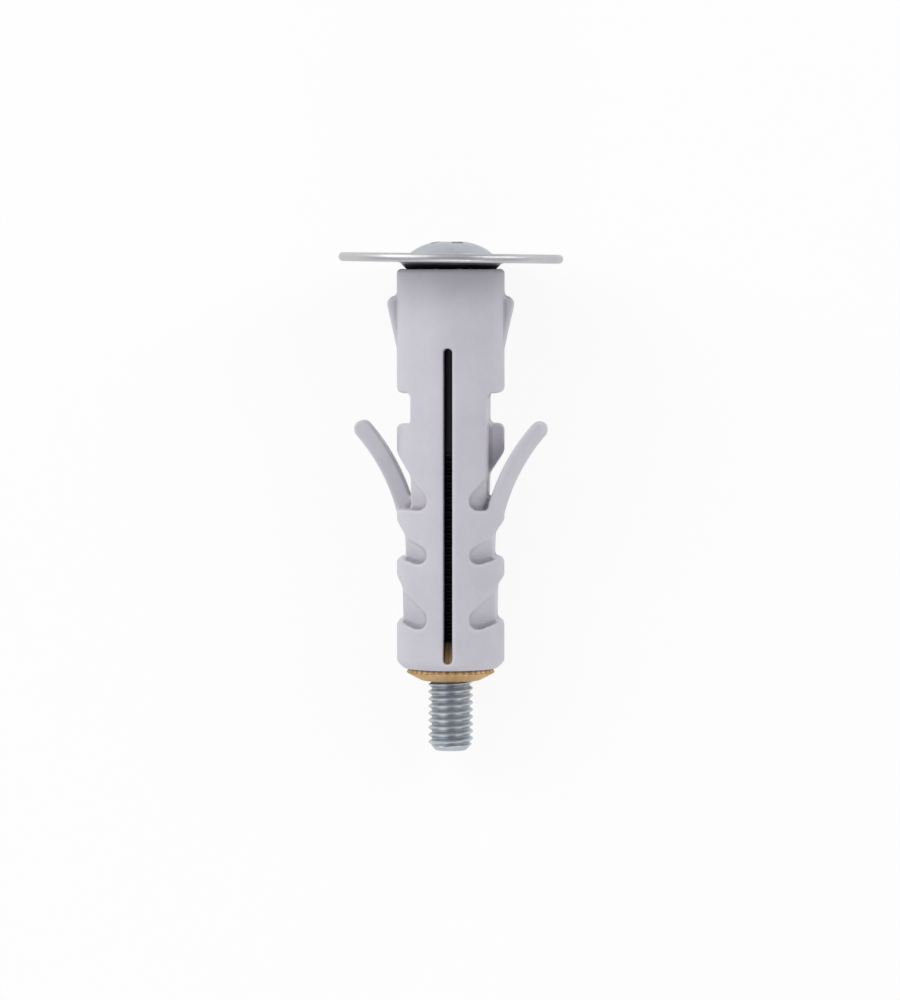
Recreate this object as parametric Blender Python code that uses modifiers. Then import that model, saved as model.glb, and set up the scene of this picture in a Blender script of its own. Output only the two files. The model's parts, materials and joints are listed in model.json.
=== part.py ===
"""Wall plug with screw: an expansion plug, lying on its side.

Metres, +Z up. Each piece is modelled upright about the Z axis. The sleeve's top face is at height
zero and depths run down from it, so a profile's points are (radius, depth) and a side outline's
points are (across, depth). The empty named laid_down then turns the pieces on their side, head
towards +Y, so that the disc washer's rim and the sleeve's lower edge both touch the floor.
"""

from math import asin, atan2, cos, degrees, hypot, pi, radians, sin, sqrt, tan

import bmesh
import bpy
from mathutils import Matrix

# Gap that pieces keep where they meet
clearance = 0.0003

# Screw: M5, raised countersunk head with a cross recess
screw_diameter = 0.0050
screw_length = 0.0554
head_diameter = 0.0092
head_land = 0.0003
head_dome = 0.00137
dome_power = 2.7
dome_rows = 7
countersink = radians(45)
tip_chamfer = 0.0008
recess_span = 0.0051
recess_foot_span = 0.0024
recess_width = 0.0013
recess_foot_width = 0.0010
recess_depth = 0.0029
recess_core = 0.0014
recess_core_foot = 0.00096
recess_turn = radians(25)

# Disc washer: a sheet disc with a pressed countersunk cup. press_bend is the inside radius where
# the sheet turns down into the cup, and the rim's corners are rounded by a share of half the sheet
disc_diameter = 0.0250
sheet_thickness = 0.0010
disc_gap = 0.0007
disc_lean = radians(0.7)
press_bend = 0.0008
rim_roundness = 0.98

# Sleeve: one nylon moulding
sleeve_radius = 0.0060
top_corner = 0.0004
end_wall = 0.00024
end_chamfer = 0.00075
end_corner = 0.0005
mouth_wall = 0.0005
slot_width = 0.0010
slot_top = 0.0088
slot_web = 0.0008

# Collar, neck and barb, from the top down; the barb is a tooth on one half of each side only.
# The neck's flats lie that deep below the sleeve's outside
collar_length = 0.0138
collar_corner = 0.0008
neck_length = 0.0034
barb_land = 0.0030
barb_taper = 0.00265
barb_run = 0.00385
barb_corner = 0.0007
neck_depth = 0.00175

# Teeth below the barb, as (land, taper, run, depth): full radius, then a slope down to a flat that
# lies that deep below the outside, and the flat's length down to the next tooth's shoulder
teeth = (
    (0.0012, 0.0016, 0.0025, 0.00112),
    (0.0021, 0.0012, 0.00365, 0.00083),
)
foot_length = 0.00555
tooth_corner = 0.0008
notch_fillet = 0.0002

# Pockets above the teeth's shoulders, on the front and the back, either side of the slot: how far
# the slanted upper edge drops and how far the inner corner lies below the shoulder, tooth by tooth.
# A pocket's floor is shallow at its upper end and dips to its full depth at the inner corner
pocket_slants = (0.0022, 0.0014, 0.0028)
pocket_sinks = (0.0001, 0.00105, 0.0014)
pocket_start = 0.0001
pocket_tilt = 0.7
pocket_inner = 0.00233
pocket_shallow = 0.0003
pocket_depth = 0.0014
pocket_facing = radians(50)
pocket_corner = 0.0010
pocket_fillet = 0.0004

# Fins against turning, on the collar's sides
fin_top = 0.0030
fin_length = 0.0060
fin_reach = 0.0013
fin_thickness = 0.0016
fin_corner = 0.0009

# Wings: curved tongues that spring out above the first full tooth
wing_thickness = 0.0019
wing_width = 0.0036
wing_side_gap = 0.00015
wing_bend = 0.0220
wing_root_lean = radians(12.8)
wing_sweep = radians(28.5)
wing_root_depth = 0.0008
wing_buried = 0.0003
wing_rows = 9
wing_tip_rows = 4
wing_tip_turn = radians(78)
wing_columns = 5

# Cone nut: its widest place lies a little inside the sleeve's outside, and walls stand round its
# thread at its top and its foot
nut_inset = 0.0011
nut_gap = 0.00025
nut_height = 0.0045
nut_proud = 0.0014
nut_foot = 0.00098
nut_land = 0.0001
nut_top_wall = 0.0006
nut_foot_wall = 0.0004
nut_foot_corner = 0.0009
knurl_teeth = 36
knurl_depth = 0.00012

# Fineness of round surfaces, and the angle from which an edge is shaded sharp
turn_steps = 64
disc_steps = 72
core_steps = 16
corner_steps = 4
fillet_steps = 2
sharp_angle = radians(35)

# Small and large reach of a cutter past the surface that it cuts
proud = 0.00005
past = 0.0020

# Points closer than this merge, and faces that turn less than this become one
merge_distance = 0.000002
flat_angle = radians(1)

for old in list(bpy.data.objects):
    bpy.data.objects.remove(old, do_unlink=True)

pieces = bpy.data.collections.new("wall_plug_with_screw")
cutters = bpy.data.collections.new("cutters")
for collection in (pieces, cutters):
    bpy.context.scene.collection.children.link(collection)

# The disc lies as low over the sleeve as its gap and the cup in the sleeve's mouth allow
screw_radius = screw_diameter / 2
head_radius = head_diameter / 2
bore_radius = screw_radius + clearance
cup_spread = (2 * clearance + sheet_thickness) / cos(countersink)
widest_mouth = sleeve_radius - mouth_wall
seat_height = (head_radius + cup_spread - widest_mouth) / tan(countersink) + head_land
disc_height = max(disc_gap, seat_height - sheet_thickness)

# Places along the axis, and the notches' flats, worked out from the sizes above
neck_flat = sleeve_radius - neck_depth
disc_top = -disc_height - sheet_thickness
head_rim = disc_top
tip_depth = head_rim + screw_length
barb_top = collar_length + neck_length
barb_end = barb_top + barb_land + barb_taper
shoulders = [barb_end + barb_run]
for land, taper, run, depth in teeth:
    shoulders.append(shoulders[-1] + land + taper + run)
sleeve_length = shoulders[-1] + foot_length
nut_bottom = sleeve_length + nut_proud
nut_widest = nut_bottom - nut_foot
nut_top = nut_bottom - nut_height
nut_radius = sleeve_radius - nut_inset
nut_slope = (nut_radius - bore_radius - nut_top_wall) / (nut_widest - nut_top)


def material(name, color, roughness, metallic):
    """A plain Principled material."""
    made = bpy.data.materials.new(name)
    made.use_nodes = True
    shader = made.node_tree.nodes["Principled BSDF"]
    shader.inputs["Base Color"].default_value = (*color, 1.0)
    shader.inputs["Roughness"].default_value = roughness
    shader.inputs["Metallic"].default_value = metallic
    return made


def rounded(corners):
    """The points of an outline whose corners, (across, depth, radius), are rounded."""
    points = []
    count = len(corners)
    for i, (x, y, radius) in enumerate(corners):
        if not radius:
            points.append((x, y))
            continue
        before, after = corners[i - 1], corners[(i + 1) % count]
        a = atan2(before[1] - y, before[0] - x)
        b = atan2(after[1] - y, after[0] - x)
        half = ((b - a + pi) % (2 * pi) - pi) / 2
        reach = radius / abs(sin(half))
        cx, cy = x + reach * cos(a + half), y + reach * sin(a + half)
        middle = a + half + pi
        swing = (pi / 2 - abs(half)) * (-1 if half > 0 else 1)
        for k in range(corner_steps + 1):
            turn = middle + swing * (2 * k / corner_steps - 1)
            points.append((cx + radius * cos(turn), cy + radius * sin(turn)))
    return points


def turned(name, profile, collection, closed, steps=turn_steps):
    """A turned solid. A closed profile makes a ring, an open one starts and ends on the axis."""
    points = [(radius, 0.0, -depth) for radius, depth in profile]
    edges = [(i, i + 1) for i in range(len(points) - 1)]
    if closed:
        edges.append((len(points) - 1, 0))
    mesh = bpy.data.meshes.new(name)
    mesh.from_pydata(points, edges, [])
    body = bpy.data.objects.new(name, mesh)
    collection.objects.link(body)
    turn = body.modifiers.new("Turn", "SCREW")
    turn.steps = turn.render_steps = steps
    turn.use_merge_vertices = True
    turn.merge_threshold = merge_distance
    turn.use_smooth_shade = True
    # A flat of the many-sided surface faces the floor, not an edge
    body.rotation_euler.z = pi / steps
    return body


def as_mesh(source, collection):
    """A plain mesh object in the place of source, which is removed."""
    bpy.context.view_layer.update()
    evaluated = source.evaluated_get(bpy.context.evaluated_depsgraph_get())
    mesh = bpy.data.meshes.new_from_object(evaluated)
    name, place = source.name, source.matrix_world.copy()
    bpy.data.objects.remove(source, do_unlink=True)
    mesh.name = name
    made = bpy.data.objects.new(name, mesh)
    made.matrix_world = place
    collection.objects.link(made)
    return made


def plate(name, outline, near, far):
    """A cutter or rib: a side outline filled flat, and thick from near to far along Y."""
    curve = bpy.data.curves.new(name, "CURVE")
    curve.dimensions = "2D"
    curve.fill_mode = "BOTH"
    curve.extrude = (far - near) / 2
    spline = curve.splines.new("POLY")
    spline.points.add(len(outline) - 1)
    for point, (across, depth) in zip(spline.points, outline):
        point.co = (across, -depth, 0.0, 1.0)
    spline.use_cyclic_u = True
    flat = bpy.data.objects.new(name, curve)
    cutters.objects.link(flat)
    flat.matrix_world = Matrix.Translation((0, (near + far) / 2, 0)) @ Matrix.Rotation(pi / 2, 4, "X")
    solid = as_mesh(flat, cutters)
    solid.data.transform(solid.matrix_world)
    solid.matrix_world = Matrix.Identity(4)
    shape = bmesh.new()
    shape.from_mesh(solid.data)
    bmesh.ops.remove_doubles(shape, verts=shape.verts, dist=merge_distance)
    bmesh.ops.dissolve_limit(
        shape, angle_limit=flat_angle, verts=shape.verts, edges=shape.edges
    )
    bmesh.ops.recalc_face_normals(shape, faces=shape.faces)
    shape.to_mesh(solid.data)
    shape.free()
    return solid


def block(name, top, bottom, depth_top, depth_bottom):
    """A tapered block about the axis: its (width, breadth) at the top and at the bottom."""
    shape = bmesh.new()
    bmesh.ops.create_cube(shape, size=1.0)
    for vertex in shape.verts:
        width, breadth = top if vertex.co.z > 0 else bottom
        depth = depth_top if vertex.co.z > 0 else depth_bottom
        vertex.co = (vertex.co.x * width, vertex.co.y * breadth, -depth)
    mesh = bpy.data.meshes.new(name)
    shape.to_mesh(mesh)
    shape.free()
    made = bpy.data.objects.new(name, mesh)
    cutters.objects.link(made)
    return made


def cut(body, tool, operation="DIFFERENCE"):
    """Cut the tool out of the body, or join it on, and keep the tool as a guide."""
    boolean = body.modifiers.new(tool.name, "BOOLEAN")
    boolean.operation = operation
    boolean.object = tool
    boolean.solver = "EXACT"
    tool.display_type = "WIRE"
    tool.hide_render = True


def half_turned(tool):
    """The tool's twin, half a turn round the axis."""
    twin = tool.copy()
    twin.name = tool.name + "_twin"
    twin.rotation_euler.z = pi
    cutters.objects.link(twin)
    return twin


def mouth_radius(depth):
    """The sleeve's mouth, a countersink that the washer's cup sits in."""
    return cup_radius(depth, sheet_thickness) + clearance / cos(countersink)


def cup_radius(depth, wall):
    """The cup's cone at a depth: its inside with no wall, its outside with the sheet's."""
    seat = head_radius - (depth - head_rim - head_land) * tan(countersink)
    return seat + (clearance + wall) / cos(countersink)


def nut_side(depth):
    """The cone nut's radius at a depth."""
    return nut_radius - (nut_widest - depth) * nut_slope


def make_sleeve():
    """The moulded plug: a turned tube, notched, pocketed and slotted, with fins and wings."""
    end_bore = nut_side(sleeve_length) + nut_gap
    end_radius = end_bore + end_wall
    cone_start = sleeve_length - (end_bore - bore_radius) / nut_slope
    mouth_end = (mouth_radius(0) - bore_radius) / tan(countersink)
    profile = rounded([
        (mouth_radius(0), 0.0, 0),
        (sleeve_radius, 0.0, top_corner),
        (sleeve_radius, sleeve_length - end_chamfer, end_corner),
        (end_radius, sleeve_length, 0),
        (end_bore, sleeve_length, 0),
        (bore_radius, cone_start, 0),
        (bore_radius, mouth_end, 0),
    ])
    sleeve = turned("sleeve", profile, pieces, closed=True)

    outside = sleeve_radius + past
    first = shoulders[0]

    # The long notch runs from the collar to the first full tooth, and leaves the barb standing
    # on one half of its side
    notch = plate(
        "long_notch",
        notch_outline(collar_edge(), neck_flat, first, tooth_corner, outside),
        -outside, outside,
    )
    barb = plate("barb", barb_outline(), 0.0, outside + past)
    cut(notch, barb)
    notch = as_mesh(notch, cutters)
    cut(sleeve, notch)
    cut(sleeve, half_turned(notch))

    # Notches between the full teeth go right through, front to back
    for k, (land, taper, run, depth) in enumerate(teeth):
        flat = sleeve_radius - depth
        edge = slope(shoulders[k] + land, taper, flat, outside)
        outline = notch_outline(edge, flat, shoulders[k + 1], tooth_corner, outside)
        tool = plate(f"tooth_notch_{k + 1}", outline, -outside, outside)
        cut(sleeve, tool)
        cut(sleeve, half_turned(tool))

    starts = [barb_end] + [shoulders[k] + teeth[k][0] + teeth[k][1] for k in range(len(teeth))]
    flats = [neck_flat] + [sleeve_radius - tooth[3] for tooth in teeth]
    for k, start in enumerate(starts):
        for side in (1, -1):
            tool = pocket(f"pocket_{k + 1}_{'right' if side > 0 else 'left'}", k, start, flats[k], side)
            cut(sleeve, tool)
            cut(sleeve, half_turned(tool))

    fin = plate("fin", fin_outline(), -fin_thickness / 2, fin_thickness / 2)
    cut(sleeve, fin, "UNION")
    cut(sleeve, half_turned(fin), "UNION")
    wing = make_wing()
    cut(sleeve, wing, "UNION")
    cut(sleeve, half_turned(wing), "UNION")

    wide = (slot_width, 2 * outside)
    slot = block("slot", wide, wide, slot_top, sleeve_length - slot_web)
    cut(sleeve, slot)
    return sleeve


def collar_edge():
    """The upper end of the neck: the collar's square end, with its corner rounded."""
    over = sleeve_radius + proud
    return [
        (over + past, collar_length - 2 * collar_corner, 0),
        (over, collar_length - 2 * collar_corner, 0),
        (over, collar_length, collar_corner),
    ], collar_length


def barb_outline():
    """The barb: a tooth with a square shoulder on top and a slope below it."""
    inside = neck_flat - past / 2
    slope_in = (neck_flat - inside) * barb_taper / (sleeve_radius - neck_flat)
    return rounded([
        (inside, barb_top, 0),
        (sleeve_radius + proud, barb_top, barb_corner),
        (sleeve_radius + proud, barb_top + barb_land, 0),
        (inside, barb_end + slope_in, 0),
    ])


def slope(start, length, flat, outside):
    """The upper end of a notch under a tooth: a slope from full radius down to the flat."""
    rise = length / (sleeve_radius - flat)
    return [(outside, start - (outside - sleeve_radius) * rise, 0)], start + length


def notch_outline(upper_end, flat, shoulder, corner, outside):
    """A notch in the sleeve's side, from its upper end to the next tooth's rounded shoulder."""
    upper, start = upper_end
    over = sleeve_radius + proud
    return rounded([
        *upper,
        (flat, start, notch_fillet),
        (flat, shoulder, notch_fillet),
        (over, shoulder, corner),
        (over, shoulder + 2 * corner, 0),
        (outside, shoulder + 2 * corner, 0),
    ])


def pocket(name, k, start, flat, side):
    """A pocket in the front, open to the notch beside it, with a floor that faces outwards."""
    outside = sleeve_radius + past
    slant, sink = pocket_slants[k], pocket_sinks[k]
    top, bottom = start + pocket_start, shoulders[k] + sink
    fall = slant / (flat - pocket_inner)
    rise = sink * pocket_tilt / (flat - pocket_inner)
    dip = (pocket_depth - pocket_shallow) / (bottom - top)
    outline = rounded([
        (outside, top - (outside - flat) * fall, 0),
        (pocket_inner, top + slant, pocket_corner),
        (pocket_inner, bottom, pocket_corner),
        (outside, bottom - (outside - pocket_inner) * rise, 0),
    ])
    tool = plate(name, [(side * across, depth) for across, depth in outline], -2 * outside, 0.0)
    for vertex in tool.data.vertices:
        if vertex.co.y > -outside:
            across, depth = abs(vertex.co.x), -vertex.co.z
            floor = sleeve_radius - pocket_shallow - dip * (depth - top)
            vertex.co.y = (across * cos(pocket_facing) - floor) / sin(pocket_facing)
    fillet = tool.modifiers.new("Fillet", "BEVEL")
    fillet.width = pocket_fillet
    fillet.segments = fillet_steps
    fillet.limit_method = "ANGLE"
    fillet.angle_limit = sharp_angle
    return tool


def fin_outline():
    """A fin's side outline: a blunt nose at the top and a long taper down into the collar."""
    inside = sleeve_radius - past
    return rounded([
        (inside, fin_top, 0),
        (sleeve_radius + fin_reach, fin_top, fin_corner),
        (sleeve_radius - proud, fin_top + fin_length, 0),
        (inside, fin_top + fin_length, 0),
    ])


def make_wing():
    """A wing: the sleeve's own curved outside, lifted off and bent away along an arc."""
    half = wing_thickness / 2
    root_across = sleeve_radius - proud - half * cos(wing_root_lean)
    centre_across = root_across + wing_bend * cos(wing_root_lean)
    centre_depth = shoulders[0] + wing_root_depth + wing_bend * sin(wing_root_lean)
    buried = wing_buried / wing_bend

    # Each row is (lean, share of the full thickness); the last rows round the tip off
    rows = []
    for k in range(wing_rows + 1):
        rows.append((wing_root_lean - buried + (wing_sweep + buried) * k / wing_rows, 1.0))
    for k in range(1, wing_tip_rows + 1):
        turn = wing_tip_turn * k / wing_tip_rows
        rows.append((wing_root_lean + wing_sweep + half * sin(turn) / wing_bend, cos(turn)))

    # The section: a flat inner face, and an outer one with the sleeve's own roundness
    near, far = -wing_side_gap, -wing_side_gap - wing_width
    section = [(-half, near), (-half, far)]
    for k in range(wing_columns + 1):
        y = far + (near - far) * k / wing_columns
        section.append((half - sleeve_radius + sqrt(sleeve_radius**2 - y**2), y))

    shape = bmesh.new()
    rings = []
    for lean, share in rows:
        ring = []
        for out, y in section:
            arm = wing_bend - out * share
            across = centre_across - arm * cos(lean)
            depth = centre_depth - arm * sin(lean)
            ring.append(shape.verts.new((across, y, -depth)))
        rings.append(ring)
    for lower, upper in zip(rings, rings[1:]):
        for k in range(len(lower)):
            nxt = (k + 1) % len(lower)
            shape.faces.new((lower[k], lower[nxt], upper[nxt], upper[k]))
    shape.faces.new(rings[0])
    shape.faces.new(rings[-1])
    bmesh.ops.recalc_face_normals(shape, faces=shape.faces)
    mesh = bpy.data.meshes.new("wing")
    shape.to_mesh(mesh)
    shape.free()
    wing = bpy.data.objects.new("wing", mesh)
    cutters.objects.link(wing)
    return wing


def make_screw():
    """The screw: a turned blank with a domed head, and a cross recess sunk in its head."""
    profile = []
    for k in range(dome_rows + 1):
        radius = head_radius * sin(pi / 2 * k / dome_rows)
        profile.append((radius, head_rim - head_dome * (1 - (radius / head_radius) ** dome_power)))
    cone_start = head_rim + head_land
    cone_end = cone_start + (head_radius - screw_radius) / tan(countersink)
    profile += [
        (head_radius, cone_start),
        (screw_radius, cone_end),
        (screw_radius, tip_depth - tip_chamfer),
        (screw_radius - tip_chamfer, tip_depth),
        (0.0, tip_depth),
    ]
    screw = turned("screw", profile, pieces, closed=False)

    top = head_rim - head_dome
    foot = top + recess_depth
    above = top - proud
    for k in range(2):
        arm = block(
            f"recess_arm_{k + 1}", (recess_span, recess_width), (recess_foot_span, recess_foot_width),
            above, foot,
        )
        arm.rotation_euler.z = recess_turn + pi / 2 * k
        cut(screw, arm)
    core = turned(
        "recess_core",
        [(0.0, above), (recess_core, above), (recess_core_foot, foot), (0.0, foot + proud)],
        cutters, closed=False, steps=core_steps,
    )
    cut(screw, core)
    return screw


def make_disc_washer():
    """The disc washer: sheet steel with a pressed cup, hung a little askew on the screw."""
    rim = rim_roundness * sheet_thickness / 2
    radius = disc_diameter / 2
    # The cup ends square across the sheet, where its inside meets the hole for the screw
    end_depth = head_rim + head_land + (head_radius - bore_radius) / tan(countersink)
    end_depth += clearance / sin(countersink)
    step = sheet_thickness * sin(countersink)
    underside = -disc_height
    profile = rounded([
        (cup_radius(disc_top, 0), disc_top, press_bend + sheet_thickness),
        (radius, disc_top, rim),
        (radius, underside, rim),
        (cup_radius(underside, sheet_thickness), underside, press_bend),
        (bore_radius + step, end_depth + step, 0),
        (bore_radius, end_depth, 0),
    ])
    washer = turned("disc_washer", profile, pieces, closed=True, steps=disc_steps)
    return washer


def make_cone_nut():
    """The cone nut: a turned cone with a rounded foot, and axial knurling round its side."""
    profile = rounded([
        (bore_radius, nut_top, 0),
        (bore_radius + nut_top_wall, nut_top, 0),
        (nut_radius, nut_widest, 0),
        (nut_radius, nut_widest + nut_land, 0),
        (bore_radius + nut_foot_wall, nut_bottom, nut_foot_corner),
        (bore_radius, nut_bottom, 0),
    ])
    nut = as_mesh(turned("cone_nut", profile, pieces, closed=True, steps=2 * knurl_teeth), pieces)
    for vertex in nut.data.vertices:
        radius = hypot(vertex.co.x, vertex.co.y)
        column = round(degrees(atan2(vertex.co.y, vertex.co.x)) * knurl_teeth / 180)
        if column % 2 and radius > bore_radius + knurl_depth:
            vertex.co.x *= 1 - knurl_depth / radius
            vertex.co.y *= 1 - knurl_depth / radius
    return nut


def smooth_by_angle():
    """A node group that shades all faces smooth but keeps an edge sharp where it turns enough."""
    group = bpy.data.node_groups.new("smooth_by_angle", "GeometryNodeTree")
    group.interface.new_socket("Geometry", in_out="INPUT", socket_type="NodeSocketGeometry")
    group.interface.new_socket("Geometry", in_out="OUTPUT", socket_type="NodeSocketGeometry")
    entry = group.nodes.new("NodeGroupInput")
    leave = group.nodes.new("NodeGroupOutput")
    turn = group.nodes.new("GeometryNodeInputMeshEdgeAngle")
    sharp = group.nodes.new("FunctionNodeCompare")
    sharp.operation = "GREATER_THAN"
    sharp.inputs["B"].default_value = sharp_angle
    faces = group.nodes.new("GeometryNodeSetShadeSmooth")
    edges = group.nodes.new("GeometryNodeSetShadeSmooth")
    edges.domain = "EDGE"
    edges.inputs["Shade Smooth"].default_value = False
    group.links.new(entry.outputs["Geometry"], faces.inputs["Geometry"])
    group.links.new(faces.outputs["Geometry"], edges.inputs["Geometry"])
    group.links.new(turn.outputs["Unsigned Angle"], sharp.inputs["A"])
    group.links.new(sharp.outputs["Result"], edges.inputs["Selection"])
    group.links.new(edges.outputs["Geometry"], leave.inputs["Geometry"])
    return group


def lay_down(parts):
    """Lay the pieces on the floor: the disc washer's rim and the sleeve's end carry them."""
    rim = sheet_thickness / 2
    rim_across, rim_depth = disc_diameter / 2 - rim, -disc_height - rim
    end_across, end_depth = sleeve_radius - end_corner, sleeve_length - end_chamfer
    across, along = rim_across - end_across, end_depth - rim_depth
    tilt = atan2(across, along) + asin((rim - end_corner) / hypot(across, along))
    height = rim + rim_across * cos(tilt) + rim_depth * sin(tilt)

    # The length on the floor runs from the screw's tip to the far side of the disc's rim
    tip_reach = tip_depth * cos(tilt) + (screw_radius - tip_chamfer) * sin(tilt)
    rim_reach = rim_across * sin(tilt) - rim_depth * cos(tilt) + rim
    laid_down = bpy.data.objects.new("laid_down", None)
    pieces.objects.link(laid_down)
    laid_down.rotation_euler = (tilt - pi / 2, 0, 0)
    laid_down.location = (0, (tip_reach - rim_reach) / 2, height)
    for part in parts:
        part.parent = laid_down


steel = material("zinc_plated_steel", (0.45, 0.49, 0.53), 0.35, 1.0)
sheet = material("zinc_plated_sheet", (0.58, 0.59, 0.62), 0.30, 1.0)
nylon = material("grey_nylon", (0.56, 0.54, 0.59), 0.45, 0.0)
brass = material("brass", (0.62, 0.37, 0.14), 0.38, 1.0)

sleeve = make_sleeve()
screw = make_screw()
washer = make_disc_washer()
washer.rotation_euler.y = disc_lean
nut = make_cone_nut()
shading = smooth_by_angle()
for piece, finish in ((sleeve, nylon), (screw, steel), (washer, sheet), (nut, brass)):
    piece.data.materials.append(finish)
    piece.modifiers.new("Shading", "NODES").node_group = shading
lay_down([part for part in bpy.data.objects if part.parent is None])
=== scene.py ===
import json
from math import asin, cos, hypot, pi, radians, sin, sqrt

import bmesh
import bpy
from mathutils import Matrix, Vector


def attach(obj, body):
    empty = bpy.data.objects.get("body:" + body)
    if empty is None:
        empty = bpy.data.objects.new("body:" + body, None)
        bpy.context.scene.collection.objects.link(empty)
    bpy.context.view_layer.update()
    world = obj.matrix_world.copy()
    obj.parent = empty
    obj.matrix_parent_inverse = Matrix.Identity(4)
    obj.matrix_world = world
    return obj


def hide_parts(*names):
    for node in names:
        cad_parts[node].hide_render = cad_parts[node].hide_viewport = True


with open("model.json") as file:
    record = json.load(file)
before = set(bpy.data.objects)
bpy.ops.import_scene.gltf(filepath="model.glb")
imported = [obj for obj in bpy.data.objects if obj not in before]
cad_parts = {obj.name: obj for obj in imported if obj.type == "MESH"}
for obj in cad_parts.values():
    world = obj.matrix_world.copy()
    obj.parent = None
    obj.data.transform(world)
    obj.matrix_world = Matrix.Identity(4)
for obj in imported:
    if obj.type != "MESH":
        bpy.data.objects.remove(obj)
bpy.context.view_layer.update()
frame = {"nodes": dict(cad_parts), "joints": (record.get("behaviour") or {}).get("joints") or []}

# The plug
# One injection moulding in light grey nylon: a collar with two fins, a neck with a barb on each
# side, teeth with hollows above them, and two springy wings. The mould leaves every edge soft, so
# the solid is remeshed finely and its edges are rubbed round.

turns_on = {joint["name"]: joint for joint in frame["joints"]}
millimetres = Matrix.Scale(0.001, 4)
plug_radius = 6.0
plug_grain_size = 0.206
plug_rubbing = 3
rubbing_strength = 0.5
facet_depth = 0.03
facing_out = 0.99


def lying(joint):
    """The place of a piece that was made standing at the origin, in millimetres."""
    along = Vector(joint["axis"]).normalized()
    behind = along.cross(Vector((1, 0, 0))).normalized()
    beside = behind.cross(along)
    turn = Matrix((beside, behind, along)).transposed().to_4x4()
    return Matrix.Translation(turns_on["screw_turn"]["pos_m"]) @ turn @ millimetres


def plain_mesh(piece):
    """What a piece's modifiers make of it, as a plain mesh; the piece itself is removed."""
    bpy.context.view_layer.update()
    seen = piece.evaluated_get(bpy.context.evaluated_depsgraph_get())
    mesh = bpy.data.meshes.new_from_object(seen)
    bpy.data.objects.remove(piece, do_unlink=True)
    return mesh


def blank(name, mesh):
    """A new piece in the scene."""
    piece = bpy.data.objects.new(name, mesh)
    bpy.context.scene.collection.objects.link(piece)
    return piece


def cleaned(mesh, reach=1e-3):
    """Doubles merged and every face turned outwards."""
    shape = bmesh.new()
    shape.from_mesh(mesh)
    bmesh.ops.remove_doubles(shape, verts=shape.verts, dist=reach)
    bmesh.ops.recalc_face_normals(shape, faces=shape.faces)
    shape.to_mesh(mesh)
    shape.free()
    return mesh


def marked(mesh):
    """Each point gets its sharpness: over a half on an edge, a half on a flat, less in a hollow."""
    normals = [normal.vector.copy() for normal in mesh.vertex_normals]
    points = [point.co.copy() for point in mesh.vertices]
    pairs = [tuple(edge.vertices) for edge in mesh.edges]
    drop = [0.0] * len(points)
    count = [0] * len(points)
    for first, second in pairs:
        way = (points[second] - points[first]).normalized()
        drop[first] -= way.dot(normals[first])
        drop[second] += way.dot(normals[second])
        count[first] += 1
        count[second] += 1
    own = [0.5 + asin(total / max(number, 1)) / pi for total, number in zip(drop, count)]
    spread = list(own)
    for first, second in pairs:
        spread[first] += own[second]
        spread[second] += own[first]
    values = [total / (number + 1) for total, number in zip(spread, count)]
    mesh.attributes.new("sharpness", "FLOAT", "POINT").data.foreach_set("value", values)
    return mesh


plug_lies = lying(turns_on["screw_turn"])
moulding = frame["nodes"]["sleeve"].data.copy()
moulding.transform(plug_lies.inverted())
moulding = blank("moulding", cleaned(moulding))
grain = moulding.modifiers.new("Grain", "REMESH")
grain.mode = "VOXEL"
grain.voxel_size = plug_grain_size
moulding = plain_mesh(moulding)

# The solid's many flat sides go back out to the true round
normals = [normal.vector.copy() for normal in moulding.vertex_normals]
for point, normal in zip(moulding.vertices, normals):
    radius = hypot(point.co.x, point.co.y)
    facing = (normal.x * point.co.x + normal.y * point.co.y) / max(radius, 0.1)
    if abs(radius - plug_radius) < facet_depth and facing > facing_out:
        point.co.x *= plug_radius / radius
        point.co.y *= plug_radius / radius

moulding = blank("moulding", moulding)
rub = moulding.modifiers.new("Rub", "SMOOTH")
rub.factor = rubbing_strength
rub.iterations = plug_rubbing
moulding = plain_mesh(moulding)
moulding.transform(plug_lies)
moulding.shade_smooth()
plug = blank("plug_moulding", marked(moulding))


def feed(tree, socket, value):
    """A socket takes a value: a link from another socket, or a number or colour set on it."""
    if isinstance(value, bpy.types.NodeSocket):
        tree.links.new(value, socket)
    else:
        socket.default_value = value


def maths(tree, operation, *values, clamp=False):
    """A sum, product or the like of sockets and numbers."""
    node = tree.nodes.new("ShaderNodeMath")
    node.operation = operation
    node.use_clamp = clamp
    for socket, value in zip(node.inputs, values):
        feed(tree, socket, value)
    return node.outputs[0]


def ranged(tree, value, low, high, to_low, to_high, smooth=False):
    """A value carried from one range to another, and held at its ends."""
    node = tree.nodes.new("ShaderNodeMapRange")
    node.interpolation_type = "SMOOTHSTEP" if smooth else "LINEAR"
    tree.links.new(value, node.inputs["Value"])
    ends = (("From Min", low), ("From Max", high), ("To Min", to_low), ("To Max", to_high))
    for name, number in ends:
        node.inputs[name].default_value = number
    return node.outputs["Result"]


def blended(tree, share, first, second):
    """Two colours blended by a share."""
    node = tree.nodes.new("ShaderNodeMix")
    node.data_type = "RGBA"
    sockets = (node.inputs["Factor"], node.inputs[6], node.inputs[7])
    for socket, value in zip(sockets, (share, first, second)):
        feed(tree, socket, value)
    return node.outputs[2]


def node_group(name, kind, takes, gives):
    """An empty node group with its named sockets, and its two end nodes."""
    group = bpy.data.node_groups.new(name, kind)
    for socket, sort, value in takes:
        made = group.interface.new_socket(socket, in_out="INPUT", socket_type="NodeSocket" + sort)
        if value is not None:
            made.default_value = value
    for socket, sort in gives:
        group.interface.new_socket(socket, in_out="OUTPUT", socket_type="NodeSocket" + sort)
    start, end = group.nodes.new("NodeGroupInput"), group.nodes.new("NodeGroupOutput")
    return group, start.outputs, end.inputs


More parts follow.
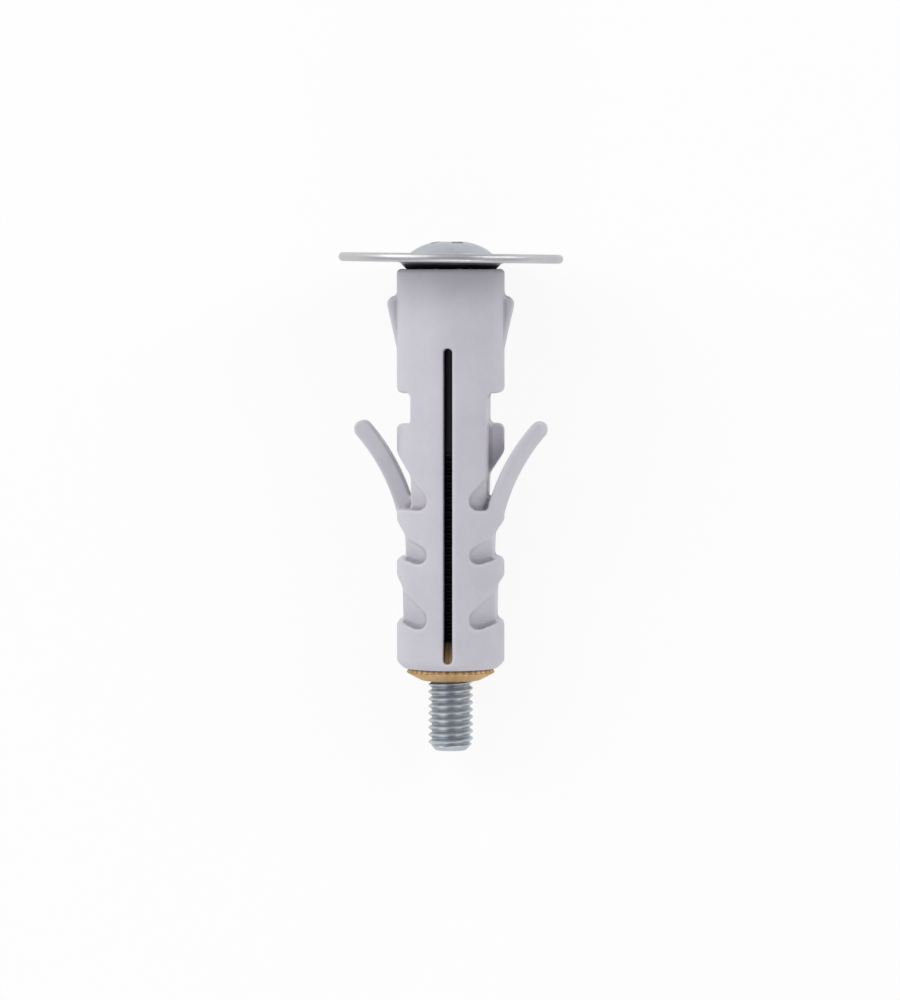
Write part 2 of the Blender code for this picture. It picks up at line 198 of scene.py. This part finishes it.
def noise(tree, place, scale, detail, roughness=0.5):
    """Noise at so many waves a metre."""
    node = tree.nodes.new("ShaderNodeTexNoise")
    tree.links.new(place, node.inputs["Vector"])
    feed(tree, node.inputs["Scale"], scale)
    node.inputs["Detail"].default_value = detail
    node.inputs["Roughness"].default_value = roughness
    return node.outputs["Fac"]


# Edges come out lighter and hollows darker, on every finish of the part: the lighter edges are a
# painted highlight with some wear, and the darker hollows are painted shade. Each starts a little
# off the sharpness of a flat and is full at its second value
edge_start, edge_full = 0.505, 0.55
hollow_start, hollow_full = 0.497, 0.46
sheen_and_shade, takes, gives = node_group(
    "rubbed_edges", "ShaderNodeTree",
    (("Colour", "Color", None), ("Edge Colour", "Color", None), ("Hollow Colour", "Color", None),
     ("Edge", "Float", 0.5), ("Hollow", "Float", 0.5)),
    (("Colour", "Color"),),
)
sharp = sheen_and_shade.nodes.new("ShaderNodeAttribute")
sharp.attribute_name = "sharpness"
sharpness = sharp.outputs["Fac"]
edge_mask = ranged(sheen_and_shade, sharpness, edge_start, edge_full, 0, 1, True)
edge_mask = maths(sheen_and_shade, "MULTIPLY", edge_mask, takes["Edge"])
hollow_mask = ranged(sheen_and_shade, sharpness, hollow_start, hollow_full, 0, 1, True)
hollow_mask = maths(sheen_and_shade, "MULTIPLY", hollow_mask, takes["Hollow"])
edged = blended(sheen_and_shade, edge_mask, takes["Colour"], takes["Edge Colour"])
sheen_and_shade.links.new(blended(sheen_and_shade, hollow_mask, edged, takes["Hollow Colour"]), gives["Colour"])

# Clouding: slow and fast unevenness in one value between two limits. The fast noise has so many
# times the waves of the slow one, and the noises' middle range is drawn out to the whole
fast_waves = 7.0
slow_share = 0.65
mixed_low, mixed_high = 0.32, 0.68
clouding, takes, gives = node_group(
    "clouding", "ShaderNodeTree",
    (("Vector", "Vector", None), ("Scale", "Float", 300.0),
     ("Low", "Float", 0.0), ("High", "Float", 1.0)),
    (("Value", "Float"),),
)
slow = noise(clouding, takes["Vector"], takes["Scale"], 2.0)
fast_scale = maths(clouding, "MULTIPLY", takes["Scale"], fast_waves)
fast = noise(clouding, takes["Vector"], fast_scale, 3.0, 0.6)
slow = maths(clouding, "MULTIPLY", slow, slow_share)
fast = maths(clouding, "MULTIPLY", fast, 1 - slow_share)
mixed = ranged(clouding, maths(clouding, "ADD", slow, fast), mixed_low, mixed_high, 0, 1)
span = maths(clouding, "SUBTRACT", takes["High"], takes["Low"])
clouding.links.new(maths(clouding, "MULTIPLY_ADD", mixed, span, takes["Low"]), gives["Value"])


def finish(name, metallic, roughness):
    """A material, its node tree, its shader and the piece's own coordinates.

    The roughness stands where no clouding is linked over it.
    """
    made = bpy.data.materials.new(name)
    made.use_nodes = True
    shader = made.node_tree.nodes["Principled BSDF"]
    shader.inputs["Metallic"].default_value = metallic
    shader.inputs["Roughness"].default_value = roughness
    place = made.node_tree.nodes.new("ShaderNodeTexCoord").outputs["Object"]
    return made, made.node_tree, shader, place


def placed(tree, group, **values):
    """A node group placed in a material, with its values; an underscore stands for a space."""
    node = tree.nodes.new("ShaderNodeGroup")
    node.node_tree = group
    for name, value in values.items():
        feed(tree, node.inputs[name.replace("_", " ")], value)
    return node.outputs


def raised(tree, shader, height, distance, strength):
    """Relief: a height over the surface, as deep as distance where it is strongest."""
    bump = tree.nodes.new("ShaderNodeBump")
    bump.inputs["Distance"].default_value = distance
    bump.inputs["Strength"].default_value = strength
    tree.links.new(height, bump.inputs["Height"])
    tree.links.new(bump.outputs["Normal"], shader.inputs["Normal"])


# The nylon: light grey, with light under its skin and a skin of coarse and fine grain
skin_relief = 0.00004
coarse_share = 0.6
nylon, tree, shader, place = finish("moulded_nylon", 0.0, 0.45)
tone = placed(tree, clouding, Vector=place, Scale=170.0)["Value"]
body = blended(tree, tone, (0.535, 0.520, 0.575, 1), (0.585, 0.568, 0.615, 1))
# The nylon's edges get a painted highlight and its hollows painted shade
lit_and_shaded = placed(
    tree, sheen_and_shade, Colour=body, Edge_Colour=(0.70, 0.69, 0.74, 1),
    Hollow_Colour=(0.30, 0.285, 0.33, 1), Edge=0.22, Hollow=1.0,
)
tree.links.new(lit_and_shaded["Colour"], shader.inputs["Base Color"])
dull = placed(tree, clouding, Vector=place, Scale=420.0, Low=0.38, High=0.52)["Value"]
tree.links.new(dull, shader.inputs["Roughness"])
shader.inputs["Subsurface Weight"].default_value = 0.12
shader.inputs["Subsurface Radius"].default_value = (0.6, 0.55, 0.6)
shader.inputs["Subsurface Scale"].default_value = 0.001
coarse = maths(tree, "MULTIPLY", noise(tree, place, 900.0, 2.0), coarse_share)
fine = maths(tree, "MULTIPLY", noise(tree, place, 6500.0, 2.0), 1 - coarse_share)
raised(tree, shader, maths(tree, "ADD", coarse, fine), skin_relief, 0.5)

plug.data.materials.clear()
plug.data.materials.append(nylon)
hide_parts("sleeve")
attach(plug, "plug")

# The cone nut
# A turned brass cone with a rounded foot, drawn up into the plug's lower end by the screw. Its side
# is knurled along the axis, so that it grips the nylon and can't turn with the screw.

# In millimetres, the depths from the plug's top
nut_top = 41.4
nut_widest = 44.92
nut_land = 0.1
nut_bottom = 45.9
nut_radius = 4.9
nut_top_radius = 3.4
nut_foot_radius = 3.2
nut_foot_corner = 0.9
nut_edge = 0.15
nut_rim_corners = (0.1, 0.2)
nut_bore = 2.56
bore_lip = 0.3
knurl_teeth = 36
knurl_depth = 0.16
sides_per_tooth = 8
nut_crease = radians(50)
fine_reach = 1e-4


def softened(corners, steps=6):
    """An outline of (across, depth, radius) corners with its corners rounded."""
    points = []
    for i, (x, y, radius) in enumerate(corners):
        if not radius:
            points.append((x, y))
            continue
        here = Vector((x, y))
        back = (Vector(corners[i - 1][:2]) - here).normalized()
        on = (Vector(corners[(i + 1) % len(corners)][:2]) - here).normalized()
        half = back.angle(on) / 2
        centre = here + (back + on).normalized() * (radius / sin(half))
        start = here + back * (radius * cos(half) / sin(half)) - centre
        end = here + on * (radius * cos(half) / sin(half)) - centre
        for k in range(steps + 1):
            arm = start.normalized().slerp(end.normalized(), k / steps)
            points.append(tuple(centre + arm * radius))
    return points


def turned(name, profile, steps, closed=True):
    """A turned piece, upright and in millimetres, from its (radius, depth) profile."""
    lines = [(k, k + 1) for k in range(len(profile) - 1)]
    if closed:
        lines.append((len(profile) - 1, 0))
    mesh = bpy.data.meshes.new(name)
    mesh.from_pydata([(radius, 0, -depth) for radius, depth in profile], lines, [])
    piece = blank(name, mesh)
    lathe = piece.modifiers.new("Lathe", "SCREW")
    lathe.steps = lathe.render_steps = steps
    lathe.use_merge_vertices = True
    lathe.merge_threshold = 0.0001
    return piece


def tree_modifier(piece, group, **values):
    """A node tree on a piece, its inputs set by their names; an underscore stands for a space."""
    modifier = piece.modifiers.new(group.name, "NODES")
    modifier.node_group = group
    for socket in group.interface.items_tree:
        name = socket.name.replace(" ", "_")
        if socket.in_out == "INPUT" and name in values:
            modifier[socket.identifier] = values[name]


def joined_out(group, geometry, material, gives):
    """The end of each geometry node tree here: instances made real, and the material set."""
    real = group.nodes.new("GeometryNodeRealizeInstances")
    coat = group.nodes.new("GeometryNodeSetMaterial")
    group.links.new(geometry, real.inputs["Geometry"])
    group.links.new(real.outputs["Geometry"], coat.inputs["Geometry"])
    group.links.new(material, coat.inputs["Material"])
    group.links.new(coat.outputs["Geometry"], gives["Geometry"])


def split(tree, vector):
    """A vector's three numbers."""
    node = tree.nodes.new("ShaderNodeSeparateXYZ")
    tree.links.new(vector, node.inputs["Vector"])
    return node.outputs


def combined(tree, x, y, z):
    """Three numbers as a vector."""
    node = tree.nodes.new("ShaderNodeCombineXYZ")
    for socket, value in zip(node.inputs, (x, y, z)):
        feed(tree, socket, value)
    return node.outputs["Vector"]


# The knurl: valleys are pressed into the side all round. From each end of the nut they grow to
# their full depth by such a share a millimetre
run_out_top = 3.0
run_out_foot = 2.6
knurl, takes, gives = node_group(
    "knurled_side", "GeometryNodeTree",
    (("Geometry", "Geometry", None), ("Teeth", "Float", 36.0), ("Depth", "Float", 0.1),
     ("Top", "Float", 38.0), ("Bottom", "Float", 45.0), ("Core", "Float", 3.0),
     ("Material", "Material", None)),
    (("Geometry", "Geometry"),),
)
x, y, z = split(knurl, knurl.nodes.new("GeometryNodeInputPosition").outputs["Position"])
turn_share = maths(knurl, "DIVIDE", maths(knurl, "ARCTAN2", y, x), 2 * pi)
wave = maths(knurl, "FRACT", maths(knurl, "MULTIPLY", turn_share, takes["Teeth"]))
wave = maths(knurl, "ABSOLUTE", maths(knurl, "MULTIPLY_ADD", wave, 2.0, -1.0))
depth = maths(knurl, "MULTIPLY", z, -1.0)
below_top = maths(knurl, "SUBTRACT", depth, takes["Top"])
inside_top = maths(knurl, "MULTIPLY", below_top, run_out_top, clamp=True)
above_foot = maths(knurl, "SUBTRACT", takes["Bottom"], depth)
inside_foot = maths(knurl, "MULTIPLY", above_foot, run_out_foot, clamp=True)
squares = maths(knurl, "ADD", maths(knurl, "MULTIPLY", x, x), maths(knurl, "MULTIPLY", y, y))
radius = maths(knurl, "SQRT", squares)
outside = maths(knurl, "GREATER_THAN", radius, takes["Core"])
share = maths(knurl, "MULTIPLY", maths(knurl, "MULTIPLY", inside_top, inside_foot), outside)
sunk = maths(knurl, "MULTIPLY", maths(knurl, "MULTIPLY", wave, takes["Depth"]), share)
keep = maths(knurl, "SUBTRACT", 1.0, maths(knurl, "DIVIDE", sunk, radius))
press = knurl.nodes.new("GeometryNodeSetPosition")
knurl.links.new(takes["Geometry"], press.inputs["Geometry"])
x, y = maths(knurl, "MULTIPLY", x, keep), maths(knurl, "MULTIPLY", y, keep)
pressed_in = combined(knurl, x, y, z)
knurl.links.new(pressed_in, press.inputs["Position"])
joined_out(knurl, press.outputs["Geometry"], takes["Material"], gives)

# The brass: its upper end, inside the plug, is painted dark as painted shade, over a stretch of the
# part's own Y
nut_shade_start = -0.0160
nut_shade_end = -0.0192
nut_shade_share = 0.85
nut_shade = (0.035, 0.022, 0.012, 1)
brass, tree, shader, place = finish("turned_brass", 1.0, 0.36)
tone = placed(tree, clouding, Vector=place, Scale=500.0)["Value"]
metal = blended(tree, tone, (0.50, 0.315, 0.14, 1), (0.64, 0.43, 0.215, 1))
# The brass's edges get a painted highlight with some wear, and its hollows painted shade
lit_and_shaded = placed(
    tree, sheen_and_shade, Colour=metal, Edge_Colour=(0.80, 0.61, 0.37, 1),
    Hollow_Colour=(0.24, 0.14, 0.065, 1), Edge=0.5, Hollow=0.7,
)
along = split(tree, place)["Y"]
nut_shaded = ranged(tree, along, nut_shade_end, nut_shade_start, 0, nut_shade_share, True)
tone = blended(tree, nut_shaded, lit_and_shaded["Colour"], nut_shade)
tree.links.new(tone, shader.inputs["Base Color"])
dull = placed(tree, clouding, Vector=place, Scale=900.0, Low=0.42, High=0.60)["Value"]
tree.links.new(dull, shader.inputs["Roughness"])
raised(tree, shader, noise(tree, place, 3200.0, 3.0), 0.00004, 0.7)

nut_profile = softened([
    (nut_bore, nut_top, nut_edge),
    (nut_top_radius, nut_top, nut_edge),
    (nut_radius, nut_widest, nut_rim_corners[0]),
    (nut_radius, nut_widest + nut_land, nut_rim_corners[1]),
    (nut_foot_radius, nut_bottom, nut_foot_corner),
    (nut_bore, nut_bottom, nut_edge),
])
nut = turned("nut_blank", nut_profile, knurl_teeth * sides_per_tooth)
tree_modifier(
    nut, knurl, Teeth=float(knurl_teeth), Depth=knurl_depth, Top=nut_top, Bottom=nut_bottom,
    Core=nut_bore + bore_lip, Material=brass,
)
nut = cleaned(plain_mesh(nut), fine_reach)
nut.transform(plug_lies)
nut.shade_smooth()
nut.set_sharp_from_angle(angle=nut_crease)
cone = blank("knurled_cone_nut", marked(nut))
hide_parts("cone_nut")
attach(cone, "nut")

# The screw
# An M5 machine screw of zinc-plated steel: cold-headed, so the head is smooth and its cross recess
# is punched, and its thread is rolled. It hangs by its head in the disc and ends in a chamfer.

# In millimetres, the depths from the plug's top
head_top = -3.07
head_rim = -1.7
head_radius = 4.6
head_land = 0.3
dome_power = 2.7
dome_rows = 28
head_sides = 160
head_ease = 0.07
head_ease_from = radians(38)
steel_crease = radians(40)
shank_radius = 2.5
shank_end = 20.0
shank_overlap = 0.2
tip_depth = 53.7
thread_pitch = 0.8
thread_depth = 0.38
thread_sides = 48
thread_rows = 16
tip_chamfer = 0.8
recess_turn = radians(25)
recess_depth = 2.9
recess_point = 0.35
recess_span = (5.1, 2.4)
recess_width = (1.3, 1.0)
recess_core = (1.4, 0.96)
core_sides = 48
punch_above = 0.05

# The thread: a grid wound round the axis, climbing by a pitch in a turn. Its first and last rows
# close both ends. Its flanks lie between two shares of half a pitch, and below the shank the groove
# grows to its full depth by such a share a millimetre
crest_share, root_share = 0.16, 0.84
groove_run_out = 0.8
weld_reach = 0.0005
thread, takes, gives = node_group(
    "rolled_thread", "GeometryNodeTree",
    (("Radius", "Float", 2.5), ("Depth", "Float", 0.49), ("Pitch", "Float", 0.8),
     ("Top", "Float", 0.0), ("Bottom", "Float", 50.0), ("Chamfer", "Float", 0.8),
     ("Sides", "Int", 48), ("Rows", "Int", 16), ("Material", "Material", None)),
    (("Geometry", "Geometry"),),
)
turns = maths(thread, "SUBTRACT", takes["Bottom"], takes["Top"])
turns = maths(thread, "DIVIDE", turns, takes["Pitch"])
turns = maths(thread, "CEIL", maths(thread, "ADD", turns, 2.0))
rows = maths(thread, "MULTIPLY", turns, takes["Rows"])
strip = thread.nodes.new("GeometryNodeMeshGrid")
thread.links.new(maths(thread, "ADD", takes["Sides"], 1.0), strip.inputs["Vertices X"])
thread.links.new(maths(thread, "ADD", rows, 1.0), strip.inputs["Vertices Y"])
u, v = split(thread, strip.outputs["UV Map"])[:2]
row = maths(thread, "ROUND", maths(thread, "MULTIPLY", v, rows))
step = maths(thread, "DIVIDE", takes["Pitch"], takes["Rows"])
start = maths(thread, "SUBTRACT", takes["Top"], maths(thread, "MULTIPLY", takes["Pitch"], 0.5))
climb = maths(thread, "MULTIPLY", maths(thread, "SUBTRACT", 0.5, u), takes["Pitch"])
depth = maths(thread, "ADD", maths(thread, "MULTIPLY_ADD", row, step, start), climb)
depth = maths(thread, "MINIMUM", maths(thread, "MAXIMUM", depth, takes["Top"]), takes["Bottom"])
# A hundredth of a row keeps a row that starts a turn from being rounded into the turn before
turn_share = maths(thread, "DIVIDE", maths(thread, "ADD", row, 0.01), takes["Rows"])
turn_share = maths(thread, "FRACT", turn_share)
side = maths(thread, "ABSOLUTE", maths(thread, "MULTIPLY_ADD", turn_share, 2.0, -1.0))
groove = ranged(thread, side, crest_share, root_share, 0, 1)
run_out = maths(thread, "SUBTRACT", depth, takes["Top"])
run_out = maths(thread, "MULTIPLY", run_out, groove_run_out, clamp=True)
groove = maths(thread, "MULTIPLY", maths(thread, "MULTIPLY", groove, run_out), takes["Depth"])
radius = maths(thread, "SUBTRACT", takes["Radius"], groove)
taper = maths(thread, "ADD", maths(thread, "SUBTRACT", takes["Radius"], takes["Chamfer"]),
              maths(thread, "SUBTRACT", takes["Bottom"], depth))
radius = maths(thread, "MINIMUM", radius, taper)
on_end = maths(thread, "MULTIPLY", maths(thread, "GREATER_THAN", row, 0.5),
               maths(thread, "LESS_THAN", row, maths(thread, "SUBTRACT", rows, 0.5)))
radius = maths(thread, "MULTIPLY", radius, on_end)
angle = maths(thread, "MULTIPLY", u, 2 * pi)
x = maths(thread, "MULTIPLY", radius, maths(thread, "COSINE", angle))
y = maths(thread, "MULTIPLY", radius, maths(thread, "SINE", angle))
z = maths(thread, "MULTIPLY", depth, -1.0)
wind = thread.nodes.new("GeometryNodeSetPosition")
thread.links.new(strip.outputs["Mesh"], wind.inputs["Geometry"])
thread.links.new(combined(thread, x, y, z), wind.inputs["Position"])
weld = thread.nodes.new("GeometryNodeMergeByDistance")
weld.inputs["Distance"].default_value = weld_reach
thread.links.new(wind.outputs["Geometry"], weld.inputs["Geometry"])
joined_out(thread, weld.outputs["Geometry"], takes["Material"], gives)

# The steel: the stretch that lies inside the plug is painted black, as painted shade inside the
# bore. It lies between two of the part's own Y, and its ends fade out
bore_shade_top = 0.020
bore_shade_foot = -0.0195
bore_shade_fade = 0.0015
bore_shade = (0.045, 0.040, 0.050, 1)
plated, tree, shader, place = finish("zinc_plated_steel", 1.0, 0.30)
tone = placed(tree, clouding, Vector=place, Scale=260.0)["Value"]
zinc = blended(tree, tone, (0.41, 0.445, 0.485, 1), (0.52, 0.555, 0.59, 1))
# The steel's edges get a painted highlight with some wear, and its hollows painted shade
lit_and_shaded = placed(
    tree, sheen_and_shade, Colour=zinc, Edge_Colour=(0.74, 0.77, 0.80, 1),
    Hollow_Colour=(0.20, 0.22, 0.25, 1), Edge=0.4, Hollow=0.4,
)
along = split(tree, place)["Y"]
above_bore_shade = ranged(tree, along, bore_shade_top - bore_shade_fade, bore_shade_top, 0, 1, True)
above_foot = ranged(tree, along, bore_shade_foot, bore_shade_foot + bore_shade_fade, 0, 1, True)
bore_shaded = maths(tree, "SUBTRACT", above_foot, above_bore_shade)
tone = blended(tree, bore_shaded, lit_and_shaded["Colour"], bore_shade)
tree.links.new(tone, shader.inputs["Base Color"])
dull = placed(tree, clouding, Vector=place, Scale=700.0, Low=0.30, High=0.44)["Value"]
tree.links.new(dull, shader.inputs["Roughness"])
raised(tree, shader, noise(tree, place, 4200.0, 3.0), 0.000012, 0.5)

# The recess is painted darker, as painted shade
recess_shade_share = 0.8
recess_shade = (0.03, 0.03, 0.035, 1)
shaded_recess = plated.copy()
shaded_recess.name = "punched_recess"
tree = shaded_recess.node_tree
base = tree.nodes["Principled BSDF"].inputs["Base Color"]
tree.links.new(blended(tree, recess_shade_share, base.links[0].from_socket, recess_shade), base)


def tapered_block(name, top, bottom, depth_top, depth_bottom):
    """A punch for the recess: a block that narrows downwards, (width, breadth) at its ends."""
    shape = bmesh.new()
    bmesh.ops.create_cube(shape, size=1.0)
    for corner in shape.verts:
        width, breadth = top if corner.co.z > 0 else bottom
        depth = depth_top if corner.co.z > 0 else depth_bottom
        corner.co = (corner.co.x * width, corner.co.y * breadth, -depth)
    mesh = bpy.data.meshes.new(name)
    shape.to_mesh(mesh)
    shape.free()
    return blank(name, mesh)


profile = []
for k in range(dome_rows + 1):
    radius = head_radius * sin(pi / 2 * k / dome_rows)
    rise = 1 - (radius / head_radius) ** dome_power
    profile.append((radius, head_rim - (head_rim - head_top) * rise))
cone_end = head_rim + head_land + head_radius - shank_radius
profile += [
    (head_radius, head_rim + head_land),
    (shank_radius, cone_end),
    (shank_radius, shank_end + shank_overlap),
    (0.0, shank_end + shank_overlap),
]
head = turned("head_blank", profile, head_sides, closed=False)
head.data.materials.append(plated)
punches = []
punch_top = head_top - punch_above
punch_foot = head_top + recess_depth
for k in range(2):
    punch = tapered_block(
        f"punch_{k}", (recess_span[0], recess_width[0]), (recess_span[1], recess_width[1]),
        punch_top, punch_foot,
    )
    punch.rotation_euler.z = recess_turn + pi / 2 * k
    punches.append(punch)
core = [
    (0.0, punch_top),
    (recess_core[0], punch_top),
    (recess_core[1], punch_foot),
    (0.0, punch_foot + recess_point),
]
punches.append(turned("punch_core", core, core_sides, closed=False))
for punch in punches:
    punch.data.materials.append(shaded_recess)
    strike = head.modifiers.new(punch.name, "BOOLEAN")
    strike.object = punch
    strike.material_mode = "TRANSFER"
head = cleaned(plain_mesh(head))
for punch in punches:
    bpy.data.objects.remove(punch, do_unlink=True)
head = blank("head_blank", head)
ease = head.modifiers.new("Ease", "BEVEL")
ease.width = head_ease
ease.segments = 2
ease.limit_method = "ANGLE"
ease.angle_limit = head_ease_from
head = cleaned(plain_mesh(head), fine_reach)
head.transform(plug_lies)
head.shade_smooth()
head.set_sharp_from_angle(angle=steel_crease)
screw_head = blank("screw_head", marked(head))

thread_blank = blank("thread_blank", bpy.data.meshes.new("thread_blank"))
tree_modifier(
    thread_blank, thread, Radius=shank_radius, Depth=thread_depth, Pitch=thread_pitch,
    Top=shank_end, Bottom=tip_depth, Chamfer=tip_chamfer, Sides=thread_sides, Rows=thread_rows,
    Material=plated,
)
rolled = cleaned(plain_mesh(thread_blank), fine_reach)
rolled.transform(plug_lies)
rolled.shade_smooth()
rolled.set_sharp_from_angle(angle=steel_crease)
screw_thread = blank("screw_thread", marked(rolled))
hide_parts("screw")
for piece in (screw_head, screw_thread):
    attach(piece, "screw")

# The disc washer
# A 25 mm disc blanked from 1 mm zinc-plated sheet, with a countersunk cup pressed in its middle.
# The cup sits in the plug's mouth and carries the screw's head; pressing leaves its edges rounded.

# In millimetres, the depths from the plug's top
disc_radius = 12.5
sheet = 1.0
disc_top = -1.7
disc_under = -0.7
press_bend = 0.8
seat_gap = 0.3
slant = sqrt(0.5)
cup_end_radius = 2.8
cup_end_corner = 0.15
rim_corner_top = 0.46
rim_corner_under = 0.49
disc_sides = 240

seat_under = head_radius - (disc_under - head_rim - head_land) + (seat_gap + sheet) / slant
seat_top = head_radius + head_land + seat_gap / slant
cup_end = head_rim + head_land + (head_radius - cup_end_radius) + seat_gap / slant
washer_profile = softened([
    (seat_top, disc_top, press_bend + sheet),
    (disc_radius, disc_top, rim_corner_top),
    (disc_radius, disc_under, rim_corner_under),
    (seat_under, disc_under, press_bend),
    (cup_end_radius + sheet * slant, cup_end + sheet * slant, cup_end_corner),
    (cup_end_radius, cup_end, cup_end_corner),
], steps=8)
washer = cleaned(plain_mesh(turned("washer_blank", washer_profile, disc_sides)), fine_reach)
washer.transform(lying(turns_on["washer_spin"]))
washer.shade_smooth()
washer.set_sharp_from_angle(angle=steel_crease)

# The sheet: below the disc the cup is painted dark, as painted shade in the gap between it and the
# plug. It lies between two heights over the plug's top, along the disc's own axis
cup_shade_start = 0.00068
cup_shade_full = 0.00040
cup_shade = (0.075, 0.070, 0.080, 1)
sheet_zinc, tree, shader, place = finish("zinc_plated_sheet", 1.0, 0.28)
tone = placed(tree, clouding, Vector=place, Scale=220.0)["Value"]
zinc = blended(tree, tone, (0.47, 0.47, 0.49, 1), (0.57, 0.57, 0.585, 1))
# The sheet's edges get a painted highlight with some wear, and its hollows painted shade
lit_and_shaded = placed(
    tree, sheen_and_shade, Colour=zinc, Edge_Colour=(0.82, 0.825, 0.83, 1),
    Hollow_Colour=(0.22, 0.225, 0.24, 1), Edge=0.5, Hollow=0.6,
)
stand = tree.nodes.new("ShaderNodeMapping")
stand.vector_type = "TEXTURE"
stand.inputs["Location"].default_value = turns_on["washer_spin"]["pos_m"]
stand.inputs["Rotation"].default_value = lying(turns_on["washer_spin"]).to_euler()
tree.links.new(place, stand.inputs["Vector"])
height = split(tree, stand.outputs["Vector"])["Z"]
cup_shaded = ranged(tree, height, cup_shade_full, cup_shade_start, 1, 0, True)
tone = blended(tree, cup_shaded, lit_and_shaded["Colour"], cup_shade)
tree.links.new(tone, shader.inputs["Base Color"])
dull = placed(tree, clouding, Vector=place, Scale=600.0, Low=0.36, High=0.50)["Value"]
tree.links.new(dull, shader.inputs["Roughness"])
raised(tree, shader, noise(tree, place, 1500.0, 2.0), 0.000008, 0.5)
washer.materials.append(sheet_zinc)
disc = blank("pressed_disc", marked(washer))
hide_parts("disc_washer")
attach(disc, "washer")

# The table, the lamps and the camera
# A plain pale table that keeps the part's shadow, a large soft lamp at the left, weaker ones at the
# right and beyond the screw's tip, and a camera that looks down on the part's front.

# In metres
table_reach = 1.5
table_whiteness = 0.88
shape = bmesh.new()
bmesh.ops.create_grid(shape, x_segments=1, y_segments=1, size=table_reach)
top = bpy.data.meshes.new("table")
shape.to_mesh(top)
shape.free()
table = blank("table", top)
pale, tree, shader, place = finish("pale_table", 0.0, 0.85)
shader.inputs["Specular IOR Level"].default_value = 0.0
mottle = placed(tree, clouding, Vector=place, Scale=30.0)["Value"]
tone = blended(tree, mottle, (0.88, 0.88, 0.885, 1), (0.90, 0.90, 0.905, 1))
tree.links.new(tone, shader.inputs["Base Color"])

# To the camera and in the metal the table is nearly white. What is left of its own shade keeps the
# part's shadow
ray = tree.nodes.new("ShaderNodeLightPath").outputs
looked_at = maths(tree, "ADD", ray["Is Camera Ray"], ray["Is Glossy Ray"])
looked_at = maths(tree, "ADD", looked_at, ray["Is Transmission Ray"], clamp=True)
white = tree.nodes.new("ShaderNodeEmission")
white.inputs["Color"].default_value = (1, 1, 1, 1)
white.inputs["Strength"].default_value = 1.0
seen = tree.nodes.new("ShaderNodeMixShader")
tree.links.new(maths(tree, "MULTIPLY", looked_at, table_whiteness), seen.inputs["Fac"])
tree.links.new(shader.outputs["BSDF"], seen.inputs[1])
tree.links.new(white.outputs["Emission"], seen.inputs[2])
tree.links.new(seen.outputs["Shader"], tree.nodes["Material Output"].inputs["Surface"])
table.data.materials.append(pale)

# The studio's walls are lighter above than below, and its ceiling is darker right over the part
sky = bpy.data.worlds.new("studio")
bpy.context.scene.world = sky
sky.use_nodes = True
tree = sky.node_tree
way = split(tree, tree.nodes.new("ShaderNodeTexCoord").outputs["Generated"])
wall_foot, wall_top = -0.1, 0.6
ceiling_edge, ceiling_middle = 0.80, 0.97
low = ranged(tree, way["Z"], wall_foot, wall_top, 0, 1)
overhead = ranged(tree, way["Z"], ceiling_edge, ceiling_middle, 0, 1, True)
shade = blended(tree, low, (0.45, 0.455, 0.465, 1), (0.62, 0.62, 0.63, 1))
shade = blended(tree, overhead, shade, (0.30, 0.30, 0.31, 1))
tree.links.new(shade, tree.nodes["Background"].inputs["Color"])

# A height in metres
part_middle = 0.01


def lamp(name, place, size, power):
    """A soft lamp, as wide and high as its size, that faces the middle of the part."""
    light = bpy.data.lights.new(name, "AREA")
    light.shape = "RECTANGLE"
    light.size, light.size_y = size
    light.energy = power
    piece = bpy.data.objects.new(name, light)
    bpy.context.scene.collection.objects.link(piece)
    piece.location = place
    away = Vector(place) - Vector((0, 0, part_middle))
    piece.rotation_euler = away.to_track_quat("Z", "Y").to_euler()


lamp("left_lamp", (-0.41, 0.25, 0.38), (0.50, 0.60), 2.1)
lamp("right_lamp", (0.43, 0.24, 0.32), (0.25, 0.40), 0.9)
lamp("foot_lamp", (0.03, -0.42, 0.16), (0.30, 0.12), 0.40)

# The camera looks at a depth on the plug's axis, in millimetres, from above its front. It stands a
# little towards the head and a little to the right
camera_distance = 560.0
camera_rise = radians(2.75)
camera_turn = radians(3.5)
camera_lens = 180.8
aim_depth = 25.76
aim_across = -0.08
camera = bpy.data.objects.new("camera", bpy.data.cameras.new("camera"))
camera.data.lens = camera_lens
camera.data.sensor_width = 36.0
camera.data.clip_start = 0.05
camera.data.clip_end = 10.0
right = Vector((cos(camera_turn), sin(camera_turn), 0))
level = Vector((sin(camera_turn), -cos(camera_turn), 0))
up = Vector((0, 0, 1))
back = level * cos(camera_rise) + up * sin(camera_rise)
over = up * cos(camera_rise) - level * sin(camera_rise)
eye = Vector((0, 0, -aim_depth)) + right * aim_across + back * camera_distance
turn = plug_lies.to_3x3().normalized()
camera.matrix_world = Matrix.Translation(plug_lies @ eye) @ (
    turn @ Matrix((right, over, back)).transposed()).to_4x4()
bpy.context.scene.collection.objects.link(camera)
bpy.context.scene.camera = camera
bpy.context.scene.view_settings.view_transform = "Standard"
